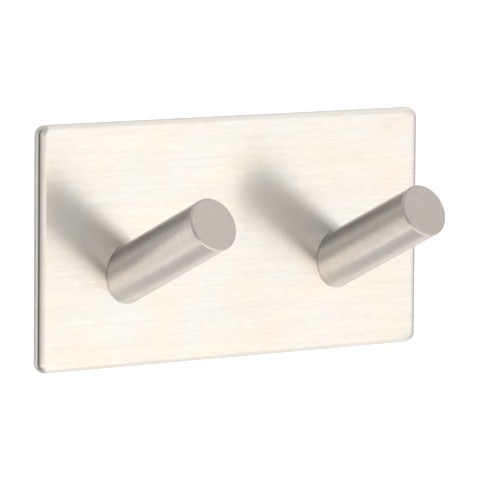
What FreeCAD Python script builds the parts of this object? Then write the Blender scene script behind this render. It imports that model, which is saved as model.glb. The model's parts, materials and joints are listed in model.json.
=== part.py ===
import FreeCAD, Part
import math
import os
import Sketcher
from FreeCAD import Placement, Rotation, Vector

# Double robe hook: a stainless steel plate stuck to the wall by a foam pad, with two round pegs that are
# screwed on from behind and tilt upward.
# Millimetres. The origin is the centre of the face that sticks to the wall: +Z is up, the wall is at y = 0
# and the pegs stand out towards -Y.

DIMENSIONS = (
    ("plate_width", 90.0, "back plate, across"),
    ("plate_height", 45.0, "back plate, up"),
    ("plate_thickness", 1.5, "back plate, sheet thickness"),
    ("corner_radius", 2.0, "back plate, four corners of the outline"),
    ("side_flat", 0.25, "back plate, flat left on its sides behind the rolled front edge"),
    ("pad_thickness", 0.8, "foam pad, adhesive face to adhesive face"),
    ("pad_inset", 0.2, "foam pad, step back from the plate's outline"),
    ("peg_spacing", 50.0, "between the two pegs, centre to centre"),
    ("peg_drop", 5.4, "from the plate's centre down to a peg's centre at the plate's face"),
    ("peg_diameter", 10.0, "peg, round bar"),
    ("peg_length", 27.0, "peg, along its axis from the plate's face to its tip"),
    ("peg_tilt", 24.0, "peg, degrees upward from square to the plate"),
    ("tip_chamfer", 0.25, "peg, edge break round its tip"),
    ("base_chamfer", 0.12, "peg, edge break round its slanting base"),
    ("mitre_allowance", 1.0, "peg, extra bar that the slanting cut takes away"),
    ("thread_clearance", 0.06, "peg, how much wider its plain bore is than the plain screw"),
    ("bore_lead_in", 0.37, "peg, how far the tapped bore's mouth is countersunk past its side"),
    ("bore_run_out", 1.0, "peg, bore left beyond the end of the screw"),
    ("drill_angle", 118.0, "peg, degrees across the drilled end of the bore"),
    ("screw_diameter", 3.0, "screw, outside of the thread"),
    ("screw_length", 6.0, "screw, over all, as a countersunk screw is measured"),
    ("screw_point", 0.3, "screw, edge break at the far end of the thread"),
    ("head_diameter", 5.5, "screw, countersunk head"),
    ("head_rim", 0.25, "screw, straight rim of the head before its cone starts"),
    ("head_angle", 90.0, "screw, degrees across the cone of the head"),
    ("socket_width", 2.0, "screw, across the flats of the hexagon socket"),
    ("socket_depth", 1.0, "screw, depth of the hexagon socket"),
    ("screw_hole_clearance", 0.2, "plate, how much wider its hole is than the screw"),
)

SHEET = "sizes"
ALIASES = {alias for alias, _, _ in DIMENSIONS}
SIDES = (("left", -1), ("right", 1))

# Sketch geometry is named by its index, its own points by these numbers, and the sketch's origin is the
# first point of geometry -1.
SKETCH_ORIGIN = (-1, 1)
START = 1
END = 2
CENTRE = 3

# A cut that takes away less than this many cubic millimetres has missed its solid.
SMALLEST_CUT = 0.01


def make_sheet(document):
    """The driving dimensions, one per row: the name, the value under that alias, and its meaning."""
    sheet = document.addObject("Spreadsheet::Sheet", SHEET)
    for row, (alias, value, meaning) in enumerate(DIMENSIONS, start=1):
        sheet.set(f"A{row}", alias)
        sheet.set(f"B{row}", str(value))
        sheet.set(f"C{row}", meaning)
        sheet.setAlias(f"B{row}", alias)
    document.recompute()


def on_sheet(expression):
    """The expression with each alias written as a cell of the sheet. Its words are set apart by spaces."""
    return " ".join(f"{SHEET}.{word}" if word in ALIASES else word for word in expression.split())


def drive(item, **expressions):
    """Tie an object's properties to the sheet. A double underscore stands for the dot of a sub-property."""
    for name, expression in expressions.items():
        item.setExpression(name.replace("__", "."), on_sheet(expression))


def value_of(item, expression):
    return float(item.evalExpression(on_sheet(expression)))


def constrain(sketch, name, expression, kind, *geometry):
    """Add one dimension to a sketch, under a name, and tie it to the sheet."""
    dimension = Sketcher.Constraint(kind, *geometry, value_of(sketch, expression))
    sketch.renameConstraint(sketch.addConstraint(dimension), name)
    sketch.setExpression(f"Constraints.{name}", on_sheet(expression))


def relate(sketch, kind, *geometry):
    sketch.addConstraint(Sketcher.Constraint(kind, *geometry))


def circle_at(x, y, diameter):
    return Part.Circle(Vector(x, y, 0), Vector(0, 0, 1), diameter / 2)


def new_body(document, name):
    body = document.addObject("PartDesign::Body", name)
    body.Label = name
    return body


def new_sketch(body, name, plane_role):
    """An empty sketch on one of the body's own origin planes."""
    plane = next(feature for feature in body.Origin.OriginFeatures if feature.Role == plane_role)
    sketch = body.newObject("Sketcher::SketchObject", name)
    sketch.AttachmentSupport = [(plane, "")]
    sketch.MapMode = "FlatFace"
    return sketch


def new_feature(body, kind, name, profile, **expressions):
    """A feature that is drawn from a sketch. What it needs of the body before it is worked out first."""
    body.Document.recompute()
    feature = body.newObject(f"PartDesign::{kind}", name)
    feature.Profile = profile
    drive(feature, **expressions)
    return feature


def break_edges(body, kind, name, pick, **expressions):
    """Round or chamfer every edge of the flat face that lies furthest front or back in the body."""
    body.Document.recompute()
    base = body.Tip
    face = pick(base.Shape.Faces, key=lambda each: each.CenterOfMass.y)
    edges = [
        f"Edge{index}"
        for index, edge in enumerate(base.Shape.Edges, start=1)
        if any(edge.isSame(other) for other in face.Edges)
    ]
    feature = body.newObject(f"PartDesign::{kind}", name)
    feature.Base = (base, edges)
    drive(feature, **expressions)


def drill(body, name, centres, mouth, angle, **expressions):
    """A hole with a conical mouth, from a sketch on the body's back face into the body, towards -Y."""
    hole = new_feature(body, "Hole", name, centres, **expressions)
    hole.Reversed = True
    hole.HoleCutType = "Countersink"
    hole.DepthType = "Dimension" if "Depth" in expressions else "ThroughAll"
    hole.DrillPoint = "Angled" if "DrillPointAngle" in expressions else "Flat"
    drive(hole, HoleCutDiameter=mouth, HoleCutCountersinkAngle=angle)


def draw_rounded_rectangle(sketch, width, height, radius):
    """Four sides joined by tangent quarter arcs, centred on the sketch's origin."""
    turn = value_of(sketch, radius)
    reach_x = value_of(sketch, width) / 2 - turn
    reach_y = value_of(sketch, height) / 2 - turn
    centres = [Vector(x * reach_x, y * reach_y, 0) for x, y in ((1, -1), (1, 1), (-1, 1), (-1, -1))]
    quarter = math.pi / 2
    for index, centre in enumerate(centres):
        circle = circle_at(centre.x, centre.y, 2 * turn)
        sketch.addGeometry(Part.ArcOfCircle(circle, (index - 1) * quarter, index * quarter))
    for index, centre in enumerate(centres):
        outward = Vector(math.cos(index * quarter), math.sin(index * quarter), 0) * turn
        sketch.addGeometry(Part.LineSegment(centre + outward, centres[(index + 1) % 4] + outward))
    right_side, top_side, left_side, bottom_side = range(4, 8)
    for arc, side in enumerate((right_side, top_side, left_side, bottom_side)):
        relate(sketch, "Tangent", arc, END, side, START)
        relate(sketch, "Tangent", side, END, (arc + 1) % 4, START)
        relate(sketch, "Horizontal" if side in (top_side, bottom_side) else "Vertical", side)
    for arc in range(3):
        relate(sketch, "Equal", arc, arc + 1)
    relate(sketch, "Symmetric", 1, CENTRE, 3, CENTRE, *SKETCH_ORIGIN)
    constrain(sketch, "corner", radius, "Radius", 0)
    constrain(sketch, "across", width, "DistanceX", left_side, START, right_side, START)
    constrain(sketch, "upright", height, "DistanceY", bottom_side, START, top_side, START)


def draw_circle_at_origin(sketch, name, diameter):
    sketch.addGeometry(circle_at(0, 0, value_of(sketch, diameter)))
    relate(sketch, "Coincident", 0, CENTRE, *SKETCH_ORIGIN)
    constrain(sketch, name, diameter, "Diameter", 0)


def draw_hexagon(sketch, across_flats):
    """A regular hexagon inside a construction circle through its corners, with two flats level."""
    across_corners = f"{across_flats} / cos( 30 deg )"
    radius = value_of(sketch, across_corners) / 2
    turns = [math.radians(60 * index) for index in range(6)]
    corners = [Vector(radius * math.cos(turn), radius * math.sin(turn), 0) for turn in turns]
    for index, corner in enumerate(corners):
        sketch.addGeometry(Part.LineSegment(corner, corners[(index + 1) % 6]))
    circle = sketch.addGeometry(circle_at(0, 0, 2 * radius), True)
    relate(sketch, "Coincident", circle, CENTRE, *SKETCH_ORIGIN)
    constrain(sketch, "across_corners", across_corners, "Diameter", circle)
    for side in range(6):
        relate(sketch, "Coincident", side, END, (side + 1) % 6, START)
        relate(sketch, "PointOnObject", side, START, circle)
    for side in range(5):
        relate(sketch, "Equal", side, side + 1)
    relate(sketch, "Horizontal", 1)


def make_base_plate(document):
    """Blanked sheet with rounded corners, a rolled front edge and a countersunk hole behind each peg."""
    body = new_body(document, "base_plate")
    drive(body, Placement__Base__y="- pad_thickness")
    outline = new_sketch(body, "plate_outline", "XZ_Plane")
    draw_rounded_rectangle(outline, "plate_width", "plate_height", "corner_radius")
    new_feature(body, "Pad", "plate_blank", outline, Length="plate_thickness")
    break_edges(body, "Fillet", "rolled_front_edge", min, Radius="plate_thickness - side_flat")

    centres = new_sketch(body, "screw_hole_centres", "XZ_Plane")
    bore = "screw_diameter + screw_hole_clearance"
    reach = value_of(centres, "peg_spacing / 2")
    drop = value_of(centres, "peg_drop")
    for index, (side, sign) in enumerate(SIDES):
        centres.addGeometry(circle_at(sign * reach, -drop, value_of(centres, bore)))
        hole_centre = (index, CENTRE)
        across = (*hole_centre, *SKETCH_ORIGIN) if side == "left" else (*SKETCH_ORIGIN, *hole_centre)
        constrain(centres, f"{side}_hole", bore, "Diameter", index)
        constrain(centres, f"{side}_reach", "peg_spacing / 2", "DistanceX", *across)
        constrain(centres, f"{side}_drop", "peg_drop", "DistanceY", *hole_centre, *SKETCH_ORIGIN)
    mouth = "head_diameter + 2 * head_rim * tan( head_angle / 2 * 1 deg )"
    drill(body, "countersunk_holes", centres, mouth, "head_angle * 1 deg", Diameter=bore)
    return body


def make_adhesive_pad(document):
    """Double-sided foam, cut a little smaller than the plate that it sticks to the wall."""
    body = new_body(document, "adhesive_pad")
    outline = new_sketch(body, "pad_outline", "XZ_Plane")
    width = "plate_width - 2 * pad_inset"
    height = "plate_height - 2 * pad_inset"
    draw_rounded_rectangle(outline, width, height, "corner_radius - pad_inset")
    new_feature(body, "Pad", "foam", outline, Length="pad_thickness")
    return body


def make_peg(document, side, sign):
    """Round bar with a square tip, cut off at a slant to stand on the plate, and tapped square to that cut.

    The body's origin is the centre of the slanting cut, which lies in its XZ plane.
    """
    name = f"{side}_peg"
    body = new_body(document, name)
    drive(
        body,
        Placement__Base__x=f"{sign} * peg_spacing / 2",
        Placement__Base__y="- pad_thickness - plate_thickness",
        Placement__Base__z="- peg_drop",
    )
    section = new_sketch(body, f"{name}_section", "XZ_Plane")
    tilt = Rotation(Vector(-1, 0, 0), value_of(section, "peg_tilt"))
    section.AttachmentOffset = Placement(Vector(), tilt)
    drive(section, AttachmentOffset__Rotation__Angle="peg_tilt * 1 deg")
    draw_circle_at_origin(section, "round_bar", "peg_diameter")
    behind = "peg_diameter / 2 * tan( peg_tilt * 1 deg ) + mitre_allowance"
    blank = new_feature(body, "Pad", f"{name}_blank", section, Length="peg_length", Length2=behind)
    blank.SideType = "Two sides"

    waste = new_sketch(body, f"{name}_waste", "XZ_Plane")
    draw_circle_at_origin(waste, "waste", "2 * peg_diameter")
    mitre = new_feature(body, "Pocket", f"{name}_mitre", waste)
    mitre.Type = "ThroughAll"
    break_edges(body, "Chamfer", f"{name}_tip_edge", min, Size="tip_chamfer")
    break_edges(body, "Chamfer", f"{name}_base_edge", max, Size="base_chamfer")

    centre = new_sketch(body, f"{name}_bore_centre", "XZ_Plane")
    bore = "screw_diameter + thread_clearance"
    draw_circle_at_origin(centre, "bore", bore)
    drill(
        body,
        f"{name}_tapped_bore",
        centre,
        f"{bore} + 2 * bore_lead_in",
        "head_angle * 1 deg",
        Diameter=bore,
        Depth="screw_length - plate_thickness + bore_run_out",
        DrillPointAngle="drill_angle * 1 deg",
    )
    return body


def make_screw(document, side, sign):
    """Countersunk screw, its head flush with the plate's back, with a plain shank for the thread.

    The body's origin is the centre of the head's flat top.
    """
    name = f"{side}_peg_screw"
    body = new_body(document, name)
    drive(
        body,
        Placement__Base__x=f"{sign} * peg_spacing / 2",
        Placement__Base__y="- pad_thickness",
        Placement__Base__z="- peg_drop",
    )
    profile = new_sketch(body, f"{name}_profile", "YZ_Plane")
    head = "head_diameter / 2"
    shank = "screw_diameter / 2"
    cone = "( head_diameter - screw_diameter ) / 2 / tan( head_angle / 2 * 1 deg )"
    head_radius = value_of(profile, head)
    shank_radius = value_of(profile, shank)
    rim = value_of(profile, "head_rim")
    cone_end = rim + value_of(profile, cone)
    length = value_of(profile, "screw_length")
    point = value_of(profile, "screw_point")
    outline = [
        Vector(0, 0, 0),
        Vector(0, head_radius, 0),
        Vector(-rim, head_radius, 0),
        Vector(-cone_end, shank_radius, 0),
        Vector(point - length, shank_radius, 0),
        Vector(-length, shank_radius - point, 0),
        Vector(-length, 0, 0),
    ]
    count = len(outline)
    for index, corner in enumerate(outline):
        profile.addGeometry(Part.LineSegment(corner, outline[(index + 1) % count]))
    top, rim_side, head_cone, thread, point_cone, end, axis = range(count)
    for side_index in range(count):
        relate(profile, "Coincident", side_index, END, (side_index + 1) % count, START)
    relate(profile, "Coincident", top, START, *SKETCH_ORIGIN)
    for upright in (top, end):
        relate(profile, "Vertical", upright)
    for level in (rim_side, thread, axis):
        relate(profile, "Horizontal", level)
    constrain(profile, "head", head, "DistanceY", top, START, top, END)
    constrain(profile, "rim", "head_rim", "DistanceX", rim_side, END, rim_side, START)
    constrain(profile, "cone", cone, "DistanceX", head_cone, END, head_cone, START)
    constrain(profile, "shank", shank, "DistanceY", axis, START, thread, END)
    constrain(profile, "length", "screw_length", "DistanceX", axis, START, axis, END)
    constrain(profile, "point_run", "screw_point", "DistanceX", point_cone, END, point_cone, START)
    constrain(profile, "point_drop", "screw_point", "DistanceY", point_cone, END, point_cone, START)
    turned = new_feature(body, "Revolution", f"{name}_turned", profile)
    turned.ReferenceAxis = (profile, ["H_Axis"])

    hexagon = new_sketch(body, f"{name}_hexagon", "XZ_Plane")
    draw_hexagon(hexagon, "socket_width")
    socket = new_feature(body, "Pocket", f"{name}_socket", hexagon, Length="socket_depth")
    socket.Reversed = True
    return body


def check(document, bodies):
    """Stop before anything is written if a feature failed, a cut missed or a piece isn't one sound solid."""
    for item in document.Objects:
        if "Invalid" in item.State or "Error" in item.State:
            raise RuntimeError(f"{item.Name} failed: {item.State}")
    cuts = ("PartDesign::Pocket", "PartDesign::Hole", "PartDesign::Chamfer", "PartDesign::Fillet")
    for item in document.Objects:
        if item.TypeId in cuts and item.BaseFeature.Shape.Volume - item.Shape.Volume < SMALLEST_CUT:
            raise RuntimeError(f"{item.Name} takes nothing away")
    for body in bodies:
        if body.Shape.isNull() or not body.Shape.isValid() or len(body.Shape.Solids) != 1:
            raise RuntimeError(f"{body.Label} is not one valid solid")


document = FreeCAD.newDocument("double_robe_hook")
make_sheet(document)
bodies = [make_base_plate(document), make_adhesive_pad(document)]
for side, sign in SIDES:
    bodies.append(make_peg(document, side, sign))
    bodies.append(make_screw(document, side, sign))
document.recompute()
check(document, bodies)

os.makedirs("parts", exist_ok=True)
for body in bodies:
    body.Shape.exportStep(f"parts/{body.Label}.step")
    print(f"{body.Label}: {body.Shape.Volume:.1f} mm3")
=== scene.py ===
import json
import math

import bmesh
import bpy
from mathutils import Matrix, Vector, noise


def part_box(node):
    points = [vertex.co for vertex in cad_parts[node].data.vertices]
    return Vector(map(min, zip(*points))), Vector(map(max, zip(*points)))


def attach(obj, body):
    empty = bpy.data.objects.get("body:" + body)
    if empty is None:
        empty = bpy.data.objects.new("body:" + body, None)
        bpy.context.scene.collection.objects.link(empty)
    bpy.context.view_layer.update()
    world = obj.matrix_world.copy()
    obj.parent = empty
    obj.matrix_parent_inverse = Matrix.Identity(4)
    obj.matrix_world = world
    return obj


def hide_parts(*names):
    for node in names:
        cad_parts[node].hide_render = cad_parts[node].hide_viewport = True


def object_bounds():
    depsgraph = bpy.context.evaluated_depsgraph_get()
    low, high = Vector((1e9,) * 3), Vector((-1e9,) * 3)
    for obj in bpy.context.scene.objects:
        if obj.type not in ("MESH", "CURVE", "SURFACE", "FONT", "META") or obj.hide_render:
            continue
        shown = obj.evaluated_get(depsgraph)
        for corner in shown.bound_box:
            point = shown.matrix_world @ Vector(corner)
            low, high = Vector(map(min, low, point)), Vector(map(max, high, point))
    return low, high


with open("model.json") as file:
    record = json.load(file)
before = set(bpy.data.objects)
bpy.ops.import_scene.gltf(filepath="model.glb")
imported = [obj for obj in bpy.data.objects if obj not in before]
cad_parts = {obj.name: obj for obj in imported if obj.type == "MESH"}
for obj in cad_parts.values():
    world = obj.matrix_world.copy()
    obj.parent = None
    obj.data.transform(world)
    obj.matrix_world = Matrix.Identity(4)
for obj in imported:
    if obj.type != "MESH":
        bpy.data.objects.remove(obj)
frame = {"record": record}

# Looks of the double robe hook. Metres, in the frame of the CAD model: the wall is at y = 0, the pegs stand
# out towards -Y and +Z is up.

CAD_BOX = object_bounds()
MM = 0.001
SIDES = ("left", "right")
RECORD = frame["record"]
PEG_MOUNT = next(mount for mount in RECORD["mounts"] if mount["name"] == "left_peg_hang")
PEG_RADIUS = PEG_MOUNT["dims"]["r_mm"] * MM
PEG_AXIS = Vector(PEG_MOUNT["axis"]).normalized()
PEG_TILT = math.asin(PEG_AXIS.z)

# Small forms of the CAD pieces, which the frame doesn't state
CORNER_RADIUS = 2.0 * MM
SIDE_FLAT = 0.25 * MM
TIP_CHAMFER = 0.25 * MM
SCREW_HOLE_RADIUS = 1.6 * MM
BORE_RADIUS = 1.53 * MM
BORE_MOUTH_RADIUS = 1.9 * MM
BORE_DEPTH = 5.5 * MM
SCREW_RADIUS = 1.5 * MM
HEAD_RIM = 0.25 * MM
SOCKET_WIDTH = 2.0 * MM
SOCKET_DEPTH = 1.0 * MM

# Forms that are finer than the CAD pieces
BURR = 0.08 * MM
THREAD_PITCH = 0.5 * MM
THREAD_DEPTH = 0.27 * MM
FILM = 0.06 * MM
FOAM_RECESS = 0.06 * MM


# Camera

CAMERA_AZIMUTH = math.radians(39.31)
CAMERA_ELEVATION = math.radians(5.44)
CAMERA_ROLL = math.radians(0.434)
CAMERA_DISTANCE = 940.2 * MM
CAMERA_RIGHT = 0.948 * MM
CAMERA_UP = -0.518 * MM
LENS = 380.7


def make_camera():
    """The photo's viewpoint: from the left, a little above, with a long lens and a slight roll."""
    plate_face = Vector((0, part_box("base_plate")[0].y, 0))
    turn, rise = CAMERA_AZIMUTH, CAMERA_ELEVATION
    back = Vector((-math.sin(turn) * math.cos(rise), -math.cos(turn) * math.cos(rise), math.sin(rise)))
    level = Vector((math.cos(turn), -math.sin(turn), 0))
    upright = back.cross(level)
    right = level * math.cos(CAMERA_ROLL) + upright * math.sin(CAMERA_ROLL)
    up = back.cross(right)
    place = plate_face + back * CAMERA_DISTANCE + right * CAMERA_RIGHT + up * CAMERA_UP
    camera = bpy.data.objects.new("camera", bpy.data.cameras.new("camera"))
    bpy.context.scene.collection.objects.link(camera)
    camera.matrix_world = Matrix.Translation(place) @ Matrix((right, up, back)).transposed().to_4x4()
    camera.data.lens = LENS
    camera.data.sensor_width = 36.0
    bpy.context.scene.camera = camera


# Mesh tools

X = Vector((1, 0, 0))
Z = Vector((0, 0, 1))
TOWARDS_FRONT = Vector((0, -1, 0))
QUARTER_TURN = math.radians(90)
SHARP_ANGLE = math.radians(30)


def new_piece(name, mesh_builder, material, material_slot, *nodes):
    """A piece that stands for CAD nodes and rides with the object."""
    mesh = bpy.data.meshes.new(name)
    mesh_builder.normal_update()
    mesh_builder.to_mesh(mesh)
    mesh_builder.free()
    piece = bpy.data.objects.new(name, mesh)
    bpy.context.scene.collection.objects.link(piece)
    materials = material if isinstance(material, (list, tuple)) else [material]
    for each in materials:
        mesh.materials.append(each)
    mesh.shade_smooth()
    mesh.set_sharp_from_angle(angle=SHARP_ANGLE)
    weighted = piece.modifiers.new("weighted_normals", "WEIGHTED_NORMAL")
    weighted.keep_sharp = True
    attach(piece, "root")
    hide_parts(*nodes)
    return piece


def rounded_outline(half_width, half_height, radius, inset, steps):
    """Points (x, z, outward x, outward z) round a rounded rectangle that is stepped in by the inset."""
    points = []
    bend = radius - inset
    for corner, (right, up) in enumerate(((1, 1), (-1, 1), (-1, -1), (1, -1))):
        centre_x = right * (half_width - radius)
        centre_z = up * (half_height - radius)
        for step in range(steps + 1):
            angle = QUARTER_TURN * (corner + step / steps)
            nx, nz = math.cos(angle), math.sin(angle)
            points.append((centre_x + bend * nx, centre_z + bend * nz, nx, nz))
    return points


def ring_of(builder, points):
    return [builder.verts.new(point) for point in points]


def bridge(builder, first, second, flip=False):
    """Quads between two closed rings of as many points."""
    faces = []
    count = len(first)
    for index in range(count):
        after = (index + 1) % count
        corners = [first[index], first[after], second[after], second[index]]
        faces.append(builder.faces.new(corners[::-1] if flip else corners))
    return faces


def fill(builder, rings, normal):
    """A flat face inside the first ring, with the other rings as holes."""
    edges = []
    for ring in rings:
        for index, vert in enumerate(ring):
            after = ring[(index + 1) % len(ring)]
            edges.append(builder.edges.get((vert, after)) or builder.edges.new((vert, after)))
    made = bmesh.ops.triangle_fill(builder, use_beauty=True, edges=edges, normal=normal)
    return [item for item in made["geom"] if isinstance(item, bmesh.types.BMFace)]


def turns_of(count):
    """The angles of as many points, evenly round a full turn."""
    return [2 * math.pi * index / count for index in range(count)]


def circle(centre, radius, count):
    """Points round a circle that stands parallel to the wall."""
    turns = turns_of(count)
    return [centre + X * (radius * math.cos(turn)) + Z * (radius * math.sin(turn)) for turn in turns]


def hole_centres():
    """Where the screws' axes are, on the plane y = 0."""
    centres = []
    for side in SIDES:
        low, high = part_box(f"{side}_peg_screw")
        centres.append(Vector(((low.x + high.x) / 2, 0, (low.z + high.z) / 2)))
    return centres


# Plate

PLATE_CORNER_STEPS = 16
ROLL_STEPS = 24
HOLE_POINTS = 64


def build_plate(material):
    """Rounded plate with a rolled front edge, a fine break at the back edge and two countersunk holes."""
    low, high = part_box("base_plate")
    half_width, half_height = high.x, high.z
    roll = high.y - low.y - SIDE_FLAT
    builder = bmesh.new()
    sections = [(BURR, high.y), (0.0, high.y - BURR)]
    for step in range(ROLL_STEPS + 1):
        turn = QUARTER_TURN * step / ROLL_STEPS
        sections.append((roll * (1 - math.cos(turn)), low.y + roll * (1 - math.sin(turn))))
    runs = [0.0]
    for (inset, y), (next_inset, next_y) in reversed(list(zip(sections, sections[1:]))):
        runs.append(runs[-1] + math.hypot(next_inset - inset, next_y - y))
    rings = []
    places = {}
    inner = rounded_outline(half_width, half_height, CORNER_RADIUS, roll, PLATE_CORNER_STEPS)
    for (inset, y), run in zip(sections, reversed(runs)):
        outline = rounded_outline(half_width, half_height, CORNER_RADIUS, inset, PLATE_CORNER_STEPS)
        ring = ring_of(builder, [(x, y, z) for x, z, _, _ in outline])
        for vert, (x, z, nx, nz) in zip(ring, inner):
            places[vert] = (z + run * nz, x + run * nx)
        rings.append(ring)
    for first, second in zip(rings, rings[1:]):
        bridge(builder, first, second, flip=True)

    front_holes, back_holes = [], []
    mouth = (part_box("left_peg_screw")[1].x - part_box("left_peg_screw")[0].x) / 2 + HEAD_RIM
    for centre in hole_centres():
        at_back = Vector((centre.x, high.y, centre.z))
        at_cone_end = at_back + TOWARDS_FRONT * (mouth - SCREW_HOLE_RADIUS)
        at_front = Vector((centre.x, low.y, centre.z))
        hole = [
            ring_of(builder, circle(at_back, mouth, HOLE_POINTS)),
            ring_of(builder, circle(at_cone_end, SCREW_HOLE_RADIUS, HOLE_POINTS)),
            ring_of(builder, circle(at_front, SCREW_HOLE_RADIUS, HOLE_POINTS)),
        ]
        for first, second in zip(hole, hole[1:]):
            bridge(builder, first, second)
        back_holes.append(hole[0])
        front_holes.append(hole[-1])
    fill(builder, [rings[-1], *front_holes], TOWARDS_FRONT)
    fill(builder, [rings[0], *back_holes], -TOWARDS_FRONT)

    layer = builder.loops.layers.uv.new("brushing")
    for face in builder.faces:
        for loop in face.loops:
            vert = loop.vert
            loop[layer].uv = places.get(vert, (vert.co.z, vert.co.x))
    bmesh.ops.recalc_face_normals(builder, faces=builder.faces)
    new_piece("brushed_plate", builder, material, "plate_steel", "base_plate")


# Pegs

PEG_POINTS = 160
PEG_BANDS = 12
ROUNDING_STEPS = 6
TIP_ROUNDING = 0.16 * MM
BASE_GAP = 0.07 * MM
BASE_UNDERCUT = 0.12 * MM
DRILL_POINT_HALF_ANGLE = math.radians(59)


def peg_profile(length):
    """(distance along the axis, radius) from the straight side over the chamfer to the tip face."""
    slope = QUARTER_TURN / 2
    set_back = TIP_ROUNDING * math.tan(slope / 2)
    points = []
    for centre_along, centre_radius, start, end in (
        (length - TIP_CHAMFER - set_back, PEG_RADIUS - TIP_ROUNDING, 0, slope),
        (length - TIP_ROUNDING, PEG_RADIUS - TIP_CHAMFER - set_back, slope, QUARTER_TURN),
    ):
        for step in range(ROUNDING_STEPS + 1):
            turn = start + (end - start) * step / ROUNDING_STEPS
            along = centre_along + TIP_ROUNDING * math.sin(turn)
            points.append((along, centre_radius + TIP_ROUNDING * math.cos(turn)))
    return points


def build_peg(side, side_material, tip_material):
    """Round bar cut at a slant to stand on the plate, with a broken edge at both ends and a bore behind."""
    low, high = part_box(f"{side}_peg")
    screw_low, screw_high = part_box(f"{side}_peg_screw")
    base = Vector(((screw_low.x + screw_high.x) / 2, high.y, (screw_low.z + screw_high.z) / 2))
    upper = Vector((0, math.sin(PEG_TILT), math.cos(PEG_TILT)))
    reach = (high.y - low.y - (PEG_RADIUS - TIP_CHAMFER) * math.sin(PEG_TILT)) / math.cos(PEG_TILT)
    builder = bmesh.new()
    layer = builder.loops.layers.uv.new("brushing")
    turns = turns_of(PEG_POINTS)

    def point(turn, along, radius):
        return base + PEG_AXIS * along + X * (radius * math.cos(turn)) + upper * (radius * math.sin(turn))

    def slant(turn, radius):
        return radius * math.sin(turn) * math.tan(PEG_TILT)

    lift = BASE_GAP / math.cos(PEG_TILT)
    foot = PEG_RADIUS - BASE_UNDERCUT
    rows = [
        [(slant(turn, foot), foot) for turn in turns],
        [(slant(turn, foot) + lift, foot) for turn in turns],
        [(slant(turn, PEG_RADIUS) + lift, PEG_RADIUS) for turn in turns],
    ]
    profile = peg_profile(reach)
    straight_end = profile[0][0]
    for band in range(1, PEG_BANDS):
        share = band / PEG_BANDS
        rows.append([(start + (straight_end - start) * share, PEG_RADIUS) for start, _ in rows[2]])
    rows.extend([[each] * PEG_POINTS for each in profile])
    rings = [ring_of(builder, [point(turn, *each) for turn, each in zip(turns, row)]) for row in rows]
    chamfer_row = len(rows) - len(profile) + ROUNDING_STEPS
    for row, (first, second) in enumerate(zip(rings, rings[1:])):
        first_row, second_row = rows[row], rows[row + 1]
        for index, face in enumerate(bridge(builder, first, second)):
            face.material_index = 1 if row >= chamfer_row else 0
            after = (index + 1) % PEG_POINTS
            around = [index, index + 1, index + 1, index]
            alongs = [first_row[index][0], first_row[after][0], second_row[after][0], second_row[index][0]]
            for loop, step, along in zip(face.loops, around, alongs):
                loop[layer].uv = (along, PEG_RADIUS * 2 * math.pi * step / PEG_POINTS)
    tip = builder.faces.new(rings[-1])
    tip.material_index = 1
    for loop, turn in zip(tip.loops, turns):
        loop[layer].uv = (PEG_RADIUS * math.sin(turn), PEG_RADIUS * math.cos(turn))

    cone_end = base + TOWARDS_FRONT * (BORE_MOUTH_RADIUS - BORE_RADIUS)
    bore_end = base + TOWARDS_FRONT * BORE_DEPTH
    point_end = bore_end + TOWARDS_FRONT * (BORE_RADIUS / math.tan(DRILL_POINT_HALF_ANGLE))
    bore = [
        ring_of(builder, circle(base, BORE_MOUTH_RADIUS, PEG_POINTS)),
        ring_of(builder, circle(cone_end, BORE_RADIUS, PEG_POINTS)),
        ring_of(builder, circle(bore_end, BORE_RADIUS, PEG_POINTS)),
    ]
    loose = bridge(builder, rings[0], bore[0], flip=True)
    for first, second in zip(bore, bore[1:]):
        loose += bridge(builder, first, second, flip=True)
    bottom = builder.verts.new(point_end)
    for index in range(PEG_POINTS):
        loose.append(builder.faces.new((bore[-1][index], bottom, bore[-1][(index + 1) % PEG_POINTS])))
    for face in loose:
        for loop in face.loops:
            loop[layer].uv = (loop.vert.co.z, loop.vert.co.x + loop.vert.co.y)
    bmesh.ops.recalc_face_normals(builder, faces=builder.faces)
    new_piece(f"brushed_{side}_peg", builder, [side_material, tip_material], "peg_steel", f"{side}_peg")


# Screws

THREAD_POINTS = 60
ROWS_PER_PITCH = 8
SOCKET_SIDE_ANGLE = math.radians(60)
SOCKET_POINT_SHARE = 1.2


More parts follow.
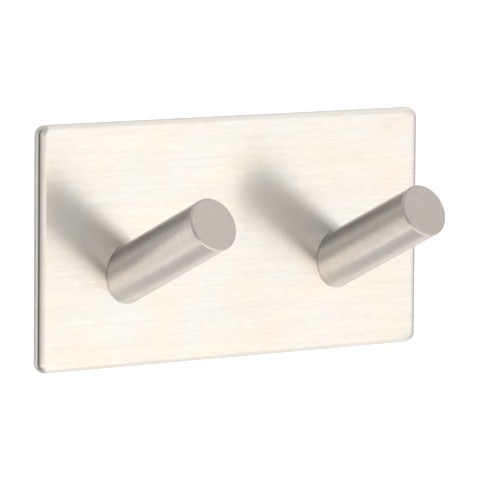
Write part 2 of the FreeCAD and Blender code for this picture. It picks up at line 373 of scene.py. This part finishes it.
def build_screw(side, material):
    """Countersunk socket screw with a helical thread."""
    low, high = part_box(f"{side}_peg_screw")
    top = Vector(((low.x + high.x) / 2, high.y, (low.z + high.z) / 2))
    head_radius = (high.x - low.x) / 2
    length = high.y - low.y
    cone_end = HEAD_RIM + head_radius - SCREW_RADIUS
    builder = bmesh.new()
    turns = turns_of(THREAD_POINTS)

    def ring(depth, radii):
        centre = top + TOWARDS_FRONT * depth
        points = []
        for turn, radius in zip(turns, radii):
            points.append(centre + X * (radius * math.cos(turn)) + Z * (radius * math.sin(turn)))
        return ring_of(builder, points)

    def hexagon_radius(turn):
        return SOCKET_WIDTH / 2 / math.cos((turn % SOCKET_SIDE_ANGLE) - SOCKET_SIDE_ANGLE / 2)

    socket = [hexagon_radius(turn) for turn in turns]
    lead_in = [radius + BURR for radius in socket]
    floor_centre = builder.verts.new(top + TOWARDS_FRONT * (SOCKET_DEPTH * SOCKET_POINT_SHARE))
    rings = [ring(SOCKET_DEPTH, socket), ring(BURR, socket), ring(0, lead_in)]
    head = ((0, head_radius - BURR), (BURR, head_radius), (HEAD_RIM, head_radius), (cone_end, SCREW_RADIUS))
    rings += [ring(depth, [radius] * THREAD_POINTS) for depth, radius in head]
    step = THREAD_PITCH / ROWS_PER_PITCH
    count = round((length - cone_end) / step)
    for row in range(1, count):
        depth = cone_end + row * step
        from_head = min(1.0, (depth - cone_end) / THREAD_PITCH)
        chamfer_radius = SCREW_RADIUS - max(0.0, depth - (length - THREAD_DEPTH))
        radii = []
        for turn in turns:
            phase = (depth / THREAD_PITCH - turn / (2 * math.pi)) % 1.0
            groove = 1 - abs(2 * phase - 1)
            radii.append(min(chamfer_radius, SCREW_RADIUS - THREAD_DEPTH * from_head * groove))
        rings.append(ring(depth, radii))
    rings.append(ring(length, [SCREW_RADIUS - THREAD_DEPTH] * THREAD_POINTS))
    for first, second in zip(rings, rings[1:]):
        bridge(builder, first, second)
    for index in range(THREAD_POINTS):
        builder.faces.new((rings[0][(index + 1) % THREAD_POINTS], rings[0][index], floor_centre))
    builder.faces.new(rings[-1])
    bmesh.ops.recalc_face_normals(builder, faces=builder.faces)
    new_piece(f"threaded_{side}_peg_screw", builder, material, "screw_steel", f"{side}_peg_screw")


# Adhesive pad

PAD_CORNER_STEPS = 12
PAD_SPACING = 0.35 * MM
FOAM_ROWS = 7
HOLLOW_AT_FILM = 0.35
ROUGH_SHARE = 0.5
ROUGH_FREQUENCY = 2500
ROUGH_ROWS = 3


def divided(points, spacing):
    """The closed outline with its long stretches divided evenly."""
    result = []
    for (x, z, nx, nz), (next_x, next_z, *_) in zip(points, points[1:] + points[:1]):
        parts = max(1, math.ceil(math.hypot(next_x - x, next_z - z) / spacing))
        for part in range(parts):
            share = part / parts
            result.append((x + (next_x - x) * share, z + (next_z - z) * share, nx, nz))
    return result


def build_pad(material):
    """Foam between two adhesive films. The cut foam edge is a little hollow and uneven."""
    low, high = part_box("adhesive_pad")
    builder = bmesh.new()
    radius = CORNER_RADIUS - (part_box("base_plate")[1].x - high.x)
    outline = divided(rounded_outline(high.x, high.z, radius, 0.0, PAD_CORNER_STEPS), PAD_SPACING)
    thickness = high.y - low.y
    levels = [(high.y, 0.0), (high.y - FILM, 0.0)]
    for row in range(FOAM_ROWS):
        share = (row + 0.5) / FOAM_ROWS
        hollow = FOAM_RECESS * (HOLLOW_AT_FILM + (1 - HOLLOW_AT_FILM) * math.sin(math.pi * share))
        levels.append((high.y - FILM - share * (thickness - 2 * FILM), hollow))
    levels += [(low.y + FILM, 0.0), (low.y, 0.0)]
    rings = []
    for y, hollow in levels:
        points = []
        for x, z, nx, nz in outline:
            rough = 0.0
            if hollow:
                where = Vector((x, y * ROUGH_ROWS, z)) * ROUGH_FREQUENCY
                rough = FOAM_RECESS * ROUGH_SHARE * (1 + noise.noise(where))
            points.append((x - nx * (hollow + rough), y, z - nz * (hollow + rough)))
        rings.append(ring_of(builder, points))
    for first, second in zip(rings, rings[1:]):
        bridge(builder, first, second, flip=True)
    builder.faces.new(rings[0])
    builder.faces.new(rings[-1])
    bmesh.ops.recalc_face_normals(builder, faces=builder.faces)
    pad = new_piece("foam_pad", builder, material, "foam_tape", "adhesive_pad")


# Material tools


class Shader:
    """A material with one Principled shader, and short ways to add and join nodes."""

    def __init__(self, name, **settings):
        self.material = bpy.data.materials.new(name)
        self.material.use_nodes = True
        self.tree = self.material.node_tree
        self.principled = self.tree.nodes["Principled BSDF"]
        for socket, value in settings.items():
            self.principled.inputs[socket.replace("_", " ")].default_value = value

    def node(self, kind, **settings):
        made = self.tree.nodes.new(kind)
        for key, value in settings.items():
            setattr(made, key, value)
        return made

    def join(self, output, target):
        self.tree.links.new(output, target)

    def place(self, rotation=(0, 0, 0), scale=(1, 1, 1), shift=(0, 0, 0)):
        """Object coordinates, turned first and scaled afterwards."""
        coordinates = self.node("ShaderNodeTexCoord")
        turned = self.node("ShaderNodeMapping")
        turned.inputs["Rotation"].default_value = rotation
        turned.inputs["Location"].default_value = shift
        scaled = self.node("ShaderNodeMapping")
        scaled.inputs["Scale"].default_value = scale
        self.join(coordinates.outputs["Object"], turned.inputs["Vector"])
        self.join(turned.outputs["Vector"], scaled.inputs["Vector"])
        return scaled.outputs["Vector"]

    def noise(self, place, scale, detail=2.0, roughness=0.5):
        made = self.node("ShaderNodeTexNoise")
        made.inputs["Scale"].default_value = scale
        made.inputs["Detail"].default_value = detail
        made.inputs["Roughness"].default_value = roughness
        self.join(place, made.inputs["Vector"])
        return made.outputs["Fac"]

    def spread(self, value, low, high, to_low, to_high):
        """The value stretched from one range to another, and held inside it."""
        made = self.node("ShaderNodeMapRange")
        for socket, number in zip(("From Min", "From Max", "To Min", "To Max"), (low, high, to_low, to_high)):
            made.inputs[socket].default_value = number
        self.join(value, made.inputs["Value"])
        return made.outputs["Result"]

    def maths(self, operation, first, second):
        made = self.node("ShaderNodeMath", operation=operation)
        for socket, value in zip(made.inputs, (first, second)):
            if isinstance(value, (int, float)):
                socket.default_value = value
            else:
                self.join(value, socket)
        return made.outputs["Value"]

    def blend(self, share, first, second, mode="MIX"):
        made = self.node("ShaderNodeMix", data_type="RGBA", blend_type=mode)
        inputs = {"Factor": share, "A": first, "B": second}
        for socket in made.inputs:
            if not socket.enabled or socket.name not in inputs:
                continue
            value = inputs[socket.name]
            if isinstance(value, bpy.types.NodeSocket):
                self.join(value, socket)
            elif socket.type == "RGBA":
                socket.default_value = (*value, 1)
            else:
                socket.default_value = value
        return next(socket for socket in made.outputs if socket.enabled)

    def bump(self, height, strength, distance):
        made = self.node("ShaderNodeBump")
        made.inputs["Strength"].default_value = strength
        made.inputs["Distance"].default_value = distance
        self.join(height, made.inputs["Height"])
        self.join(made.outputs["Normal"], self.principled.inputs["Normal"])

    def tangent(self):
        made = self.node("ShaderNodeTangent", direction_type="UV_MAP", uv_map="brushing")
        self.join(made.outputs["Tangent"], self.principled.inputs["Tangent"])


# Painted light and painted shade for the plate's corners and for the roll of its right side.
LOWER_CORNER_PAINTED_SHADE = (0.87, 0.87, 0.87)
UPPER_CORNER_PAINTED_LIGHT = (1.15, 1.15, 1.15)
LEFT_BEND_PAINTED_SHADE = (0.55, 0.55, 0.55)
RIGHT_ROLL_PAINTED_SHADE = (0.85, 0.845, 0.865)


def past_corner_centres(shader):
    """How deep a point of the plate lies in a corner's square, and how far past the corners' centres."""
    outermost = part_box("base_plate")[1]
    split = shader.node("ShaderNodeSeparateXYZ")
    shader.join(shader.place(), split.inputs["Vector"])
    past = []
    for axis, half in (("X", outermost.x), ("Z", outermost.z)):
        away = shader.maths("ABSOLUTE", split.outputs[axis], 0.0)
        past.append(shader.maths("MAXIMUM", shader.maths("SUBTRACT", away, half - CORNER_RADIUS), 0.0))
    squares = [shader.maths("MULTIPLY", each, each) for each in past]
    return shader.maths("MINIMUM", *past), shader.maths("SQRT", shader.maths("ADD", *squares), 0.0)


def corner_shade(shader, corner, past):
    """The eased corners: painted light above and painted shade below, with a painted dark band of shade on
    the bend of the left ones.
    """
    split = shader.node("ShaderNodeSeparateXYZ")
    shader.join(shader.place(), split.inputs["Vector"])
    upper = shader.spread(split.outputs["Z"], -CORNER_RADIUS, CORNER_RADIUS, 0.0, 1.0)
    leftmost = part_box("base_plate")[0].x
    left = shader.spread(split.outputs["X"], leftmost + 0.5 * MM, leftmost + 1.4 * MM, 1.0, 0.0)
    starts = shader.spread(past, CORNER_RADIUS - 0.8 * MM, CORNER_RADIUS - 0.3 * MM, 0.0, 1.0)
    ends = shader.spread(past, CORNER_RADIUS - 0.1 * MM, CORNER_RADIUS - 0.03 * MM, 1.0, 0.0)
    # The painted dark band of shade on the bend of the left corners.
    painted_band = shader.maths("MULTIPLY", left, shader.maths("MULTIPLY", starts, ends))
    shade = shader.blend(upper, LOWER_CORNER_PAINTED_SHADE, UPPER_CORNER_PAINTED_LIGHT)
    shade = shader.blend(painted_band, shade, LEFT_BEND_PAINTED_SHADE)
    return shader.blend(corner, (1.0, 1.0, 1.0), shade)


def side_shade(shader, past):
    """Painted shade: a faint grey band along the roll of the right side and round into its corners."""
    split = shader.node("ShaderNodeSeparateXYZ")
    shader.join(shader.place(), split.inputs["Vector"])
    corner_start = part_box("base_plate")[1].x - CORNER_RADIUS
    right = shader.spread(split.outputs["X"], corner_start - CORNER_RADIUS, corner_start, 0.0, 1.0)
    starts = shader.spread(past, CORNER_RADIUS - 1.95 * MM, CORNER_RADIUS - 1.1 * MM, 0.0, 1.0)
    ends = shader.spread(past, CORNER_RADIUS - 0.8 * MM, CORNER_RADIUS - 0.3 * MM, 1.0, 0.0)
    # The painted band of shade along the right side's roll.
    painted_band = shader.maths("MULTIPLY", right, shader.maths("MULTIPLY", starts, ends))
    return shader.blend(painted_band, (1.0, 1.0, 1.0), RIGHT_ROLL_PAINTED_SHADE)


def plate_steel():
    """Stainless sheet, brushed from side to side, duller where its edge and its corners are eased, with
    painted light and shade on its corners and right side and painted shade on its cut edge.
    """
    shader = Shader("plate_steel", Metallic=1.0, Anisotropic=0.8)
    fine = shader.noise(shader.place(scale=(420, 420, 1500)), 1.0, detail=1)
    medium = shader.noise(shader.place(scale=(45, 45, 620), shift=(0.3, 0, 0.1)), 1.0, detail=3)
    scratched = shader.noise(shader.place(scale=(120, 120, 2900), shift=(0, 0, 0.02)), 1.0, detail=1)
    cloudy = shader.noise(shader.place(scale=(70, 70, 110)), 1.0, detail=3)
    rosy = shader.noise(shader.place(scale=(60, 60, 100), shift=(0.05, 0, 0.03)), 1.0, detail=2)
    streaks = shader.maths("ADD", shader.maths("MULTIPLY", fine, 0.4), shader.maths("MULTIPLY", medium, 0.6))
    tone = shader.spread(streaks, 0.35, 0.65, 0.0, 1.0)
    steel = shader.blend(tone, (0.745, 0.735, 0.719), (0.791, 0.778, 0.759))
    tinted = shader.blend(shader.spread(cloudy, 0.35, 0.65, 0.0, 1.0), (1.0, 0.98, 0.92), (0.985, 1.0, 0.995))
    blushed = shader.blend(shader.spread(rosy, 0.5, 0.75, 0.0, 1.0), (1.0, 1.0, 1.0), (1.0, 0.97, 0.97))
    steel = shader.blend(1.0, steel, shader.blend(1.0, tinted, blushed, "MULTIPLY"), "MULTIPLY")
    steel = shader.blend(shader.spread(scratched, 0.65, 0.77, 0.0, 0.45), steel, (0.86, 0.85, 0.83))
    steel = shader.blend(shader.spread(scratched, 0.23, 0.35, 0.4, 0.0), steel, (0.67, 0.655, 0.635))
    in_corner, past = past_corner_centres(shader)
    roll_start = CORNER_RADIUS - (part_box("base_plate")[1].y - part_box("base_plate")[0].y - SIDE_FLAT)
    corner = shader.maths(
        "MULTIPLY",
        shader.spread(past, roll_start, roll_start + 0.5 * MM, 0.0, 1.0),
        shader.spread(in_corner, 0.2 * MM, 0.9 * MM, 0.0, 1.0),
    )
    # The outermost cut edge is darker: partly a duller cut, partly painted shade.
    cut = shader.spread(past, CORNER_RADIUS - 0.04 * MM, CORNER_RADIUS - 0.01 * MM, 0.0, 1.0)
    steel = shader.blend(1.0, steel, shader.blend(cut, (1.0, 1.0, 1.0), (0.87, 0.87, 0.87)), "MULTIPLY")
    # Painted light and painted shade on the corners.
    steel = shader.blend(1.0, steel, corner_shade(shader, corner, past), "MULTIPLY")
    # Painted shade along the right side's roll.
    steel = shader.blend(1.0, steel, side_shade(shader, past), "MULTIPLY")
    shader.join(steel, shader.principled.inputs["Base Color"])
    satin = shader.spread(streaks, 0.35, 0.65, 0.235, 0.2)
    edge = shader.spread(past, roll_start, CORNER_RADIUS, 0.0, 0.045)
    eased = shader.maths("ADD", edge, shader.maths("MULTIPLY", corner, 0.24))
    shader.join(shader.maths("ADD", satin, eased), shader.principled.inputs["Roughness"])
    shader.bump(streaks, 0.02, 0.02 * MM)
    shader.tangent()
    return shader.material


def peg_steel():
    """Stainless bar, ground round and round."""
    shader = Shader("peg_steel", Metallic=1.0, Anisotropic=0.8)
    turn = (-(math.pi / 2 - PEG_TILT), 0, 0)
    fine = shader.noise(shader.place(turn, (120, 120, 2600)), 1.0, detail=3)
    speckled = shader.noise(shader.place(turn, (900, 900, 1500)), 1.0, detail=2)
    cloudy = shader.noise(shader.place(turn, (90, 90, 160)), 1.0, detail=2)
    grain = shader.maths("ADD", shader.maths("MULTIPLY", fine, 0.5), shader.maths("MULTIPLY", speckled, 0.5))
    tone = shader.spread(grain, 0.38, 0.62, 0.0, 1.0)
    steel = shader.blend(tone, (0.662, 0.64, 0.613), (0.711, 0.688, 0.659))
    shader.join(steel, shader.principled.inputs["Base Color"])
    shader.join(shader.spread(cloudy, 0.35, 0.65, 0.27, 0.25), shader.principled.inputs["Roughness"])
    shader.bump(grain, 0.006, 0.02 * MM)
    shader.tangent()
    return shader.material


def tip_steel():
    """The bar's faced end: a finer, duller grain, and painted shade that makes the right one a little darker.
    """
    shader = Shader("tip_steel", Metallic=1.0, Anisotropic=0.3)
    fine = shader.noise(shader.place((0, 0.5, 0), (700, 700, 1600)), 1.0, detail=3)
    steel = shader.blend(shader.spread(fine, 0.35, 0.65, 0.0, 1.0), (0.53, 0.505, 0.478), (0.555, 0.529, 0.5))
    split = shader.node("ShaderNodeSeparateXYZ")
    shader.join(shader.place(), split.inputs["Vector"])
    # Painted shade: the right tip is painted a little darker than the left.
    rightwards = shader.spread(split.outputs["X"], -PEG_RADIUS, PEG_RADIUS, 0.0, 1.0)
    shade = shader.blend(rightwards, (1.0, 1.0, 1.0), (0.94, 0.94, 0.94))
    steel = shader.blend(1.0, steel, shade, "MULTIPLY")
    shader.join(steel, shader.principled.inputs["Base Color"])
    shader.join(shader.spread(fine, 0.35, 0.65, 0.42, 0.39), shader.principled.inputs["Roughness"])
    shader.bump(fine, 0.01, 0.02 * MM)
    shader.tangent()
    return shader.material


def screw_steel():
    shader = Shader("screw_steel", Metallic=1.0)
    fine = shader.noise(shader.place(scale=(900, 900, 900)), 1.0, detail=3)
    steel = shader.blend(shader.spread(fine, 0.35, 0.65, 0.0, 1.0), (0.55, 0.53, 0.50), (0.66, 0.64, 0.61))
    shader.join(steel, shader.principled.inputs["Base Color"])
    shader.join(shader.spread(fine, 0.35, 0.65, 0.38, 0.26), shader.principled.inputs["Roughness"])
    return shader.material


def foam_tape():
    shader = Shader("foam_tape")
    cells = shader.noise(shader.place(scale=(1900, 1900, 1900)), 1.0, detail=4, roughness=0.7)
    cloudy = shader.noise(shader.place(scale=(120, 120, 120)), 1.0, detail=5, roughness=0.65)
    foam = shader.blend(shader.spread(cells, 0.3, 0.7, 0.0, 1.0), (0.65, 0.65, 0.67), (0.77, 0.77, 0.79))
    tint = shader.blend(shader.spread(cloudy, 0.35, 0.65, 0.0, 1.0), (0.93, 0.93, 0.94), (1.0, 1.0, 1.0))
    shader.join(shader.blend(1.0, foam, tint, "MULTIPLY"), shader.principled.inputs["Base Color"])
    shader.join(shader.spread(cells, 0.3, 0.7, 0.5, 0.7), shader.principled.inputs["Roughness"])
    shader.bump(cells, 0.3, 0.03 * MM)
    return shader.material


# Studio

FLOOR_DROP = 0.25
FLOOR_SIZE = 60.0
FLOOR_GLOW = 0.45
AMBIENT = 0.78
LIGHT_TINT = (1.045, 1.005, 0.96)

# What the steel mirrors, as soft-edged panels laid over the ambient light one after the other: azimuth and
# elevation of the middle, half its width and half its height, the width of its soft edge, all in degrees, and
# its brightness. Azimuth 0 is in front of the plate and 90 to its right.
PANELS = (
    ("rear table", -150, -38, 30, 34, 14, 1.15),
    ("right wall", 82, -23, 50, 45, 40, 1.07),
    ("right top", 78, 43, 38, 14, 20, 1.1),
    ("right shade", 101, -7, 39, 17, 22, 0.66),
    ("ceiling", 30, 62, 40, 12, 14, 0.5),
    ("front table", -6, -34, 50, 18, 24, 1.8),
    ("foot", 0, -90, 180, 22, 10, 0.8),
    ("rear foot", 180, -76, 75, 17, 10, 0.6),
    ("key", 33, 0, 11, 30, 14, 1.26),
    ("front glow", 2, -8, 18, 6, 10, 1.15),
    ("front flag", -4, 24, 25, 15, 18, 0.18),
    ("left light", -56, 28, 12, 18, 12, 1.1),
    ("left fade", -50, -4, 16, 12, 20, 0.46),
    ("left flag", -94, -2, 22, 44, 24, 0.15),
)


def build_floor():
    """Pale floor, lit from within as well as from above. The steel mirrors the panels in its place."""
    floor = bpy.data.objects.new("floor", bpy.data.meshes.new("floor"))
    builder = bmesh.new()
    bmesh.ops.create_grid(builder, x_segments=1, y_segments=1, size=FLOOR_SIZE / 2)
    builder.to_mesh(floor.data)
    builder.free()
    bpy.context.scene.collection.objects.link(floor)
    floor.location.z = CAD_BOX[0].z - FLOOR_DROP
    floor.visible_glossy = floor.visible_diffuse = floor.visible_shadow = False
    shader = Shader("floor", Roughness=0.9, Emission_Strength=FLOOR_GLOW)
    soft = shader.noise(shader.place(scale=(3, 3, 3)), 1.0)
    pale = shader.blend(soft, (0.94, 0.94, 0.94), (0.96, 0.96, 0.96))
    for socket in ("Base Color", "Emission Color"):
        shader.join(pale, shader.principled.inputs[socket])
    floor.data.materials.append(shader.material)


class Surroundings:
    """The world's light by direction."""

    def __init__(self):
        self.world = bpy.data.worlds.new("studio")
        self.world.use_nodes = True
        self.tree = self.world.node_tree
        coordinates = self.tree.nodes.new("ShaderNodeTexCoord")
        split = self.tree.nodes.new("ShaderNodeSeparateXYZ")
        self.tree.links.new(coordinates.outputs["Generated"], split.inputs["Vector"])
        self.elevation = self.maths("ARCSINE", split.outputs["Z"])
        frontwards = self.maths("MULTIPLY", split.outputs["Y"], -1)
        self.azimuth = self.maths("ARCTAN2", split.outputs["X"], frontwards)

    def maths(self, operation, *values):
        made = self.tree.nodes.new("ShaderNodeMath")
        made.operation = operation
        for socket, value in zip(made.inputs, values):
            if isinstance(value, (int, float)):
                socket.default_value = value
            else:
                self.tree.links.new(value, socket)
        return made.outputs["Value"]

    def inside(self, angle, middle, half, edge):
        """1 within half of the middle, falling smoothly to 0 over the edge, round the turn at 180 degrees."""
        offset = self.maths("SUBTRACT", angle, math.radians(middle))
        away = self.maths("ABSOLUTE", self.maths("WRAP", offset, math.pi, -math.pi))
        soft = self.tree.nodes.new("ShaderNodeMapRange")
        soft.interpolation_type = "SMOOTHSTEP"
        soft.inputs["From Min"].default_value = math.radians(half + edge / 2)
        soft.inputs["From Max"].default_value = math.radians(half - edge / 2)
        self.tree.links.new(away, soft.inputs["Value"])
        return soft.outputs["Result"]

    def lay(self, light, panel):
        """The light with one more panel over it."""
        _, azimuth, elevation, half_width, half_height, edge, brightness = panel
        share = self.inside(self.elevation, elevation, half_height, edge)
        if half_width < 180:
            share = self.maths("MULTIPLY", share, self.inside(self.azimuth, azimuth, half_width, edge))
        change = self.maths("MULTIPLY", self.maths("SUBTRACT", brightness, light), share)
        return self.maths("ADD", light, change)


def build_world():
    """The panels light the object, and the camera sees plain white."""
    around = Surroundings()
    bpy.context.scene.world = around.world
    light = AMBIENT
    for panel in PANELS:
        light = around.lay(light, panel)
    path = around.tree.nodes.new("ShaderNodeLightPath")
    seen = path.outputs["Is Camera Ray"]
    light = around.maths("ADD", light, around.maths("MULTIPLY", around.maths("SUBTRACT", 1.0, light), seen))
    background = around.tree.nodes["Background"]
    around.tree.links.new(light, background.inputs["Strength"])
    colour = around.tree.nodes.new("ShaderNodeMix")
    colour.data_type = "RGBA"
    factor, _, _, _, _, _, warm, white, *_ = colour.inputs
    warm.default_value = (*LIGHT_TINT, 1)
    white.default_value = (1, 1, 1, 1)
    around.tree.links.new(seen, factor)
    around.tree.links.new(colour.outputs[2], background.inputs["Color"])


make_camera()
build_plate(plate_steel())
side_steel = peg_steel()
end_steel = tip_steel()
thread_steel = screw_steel()
for side in SIDES:
    build_peg(side, side_steel, end_steel)
    build_screw(side, thread_steel)
build_pad(foam_tape())
build_floor()
build_world()
bpy.context.scene.view_settings.view_transform = "Standard"
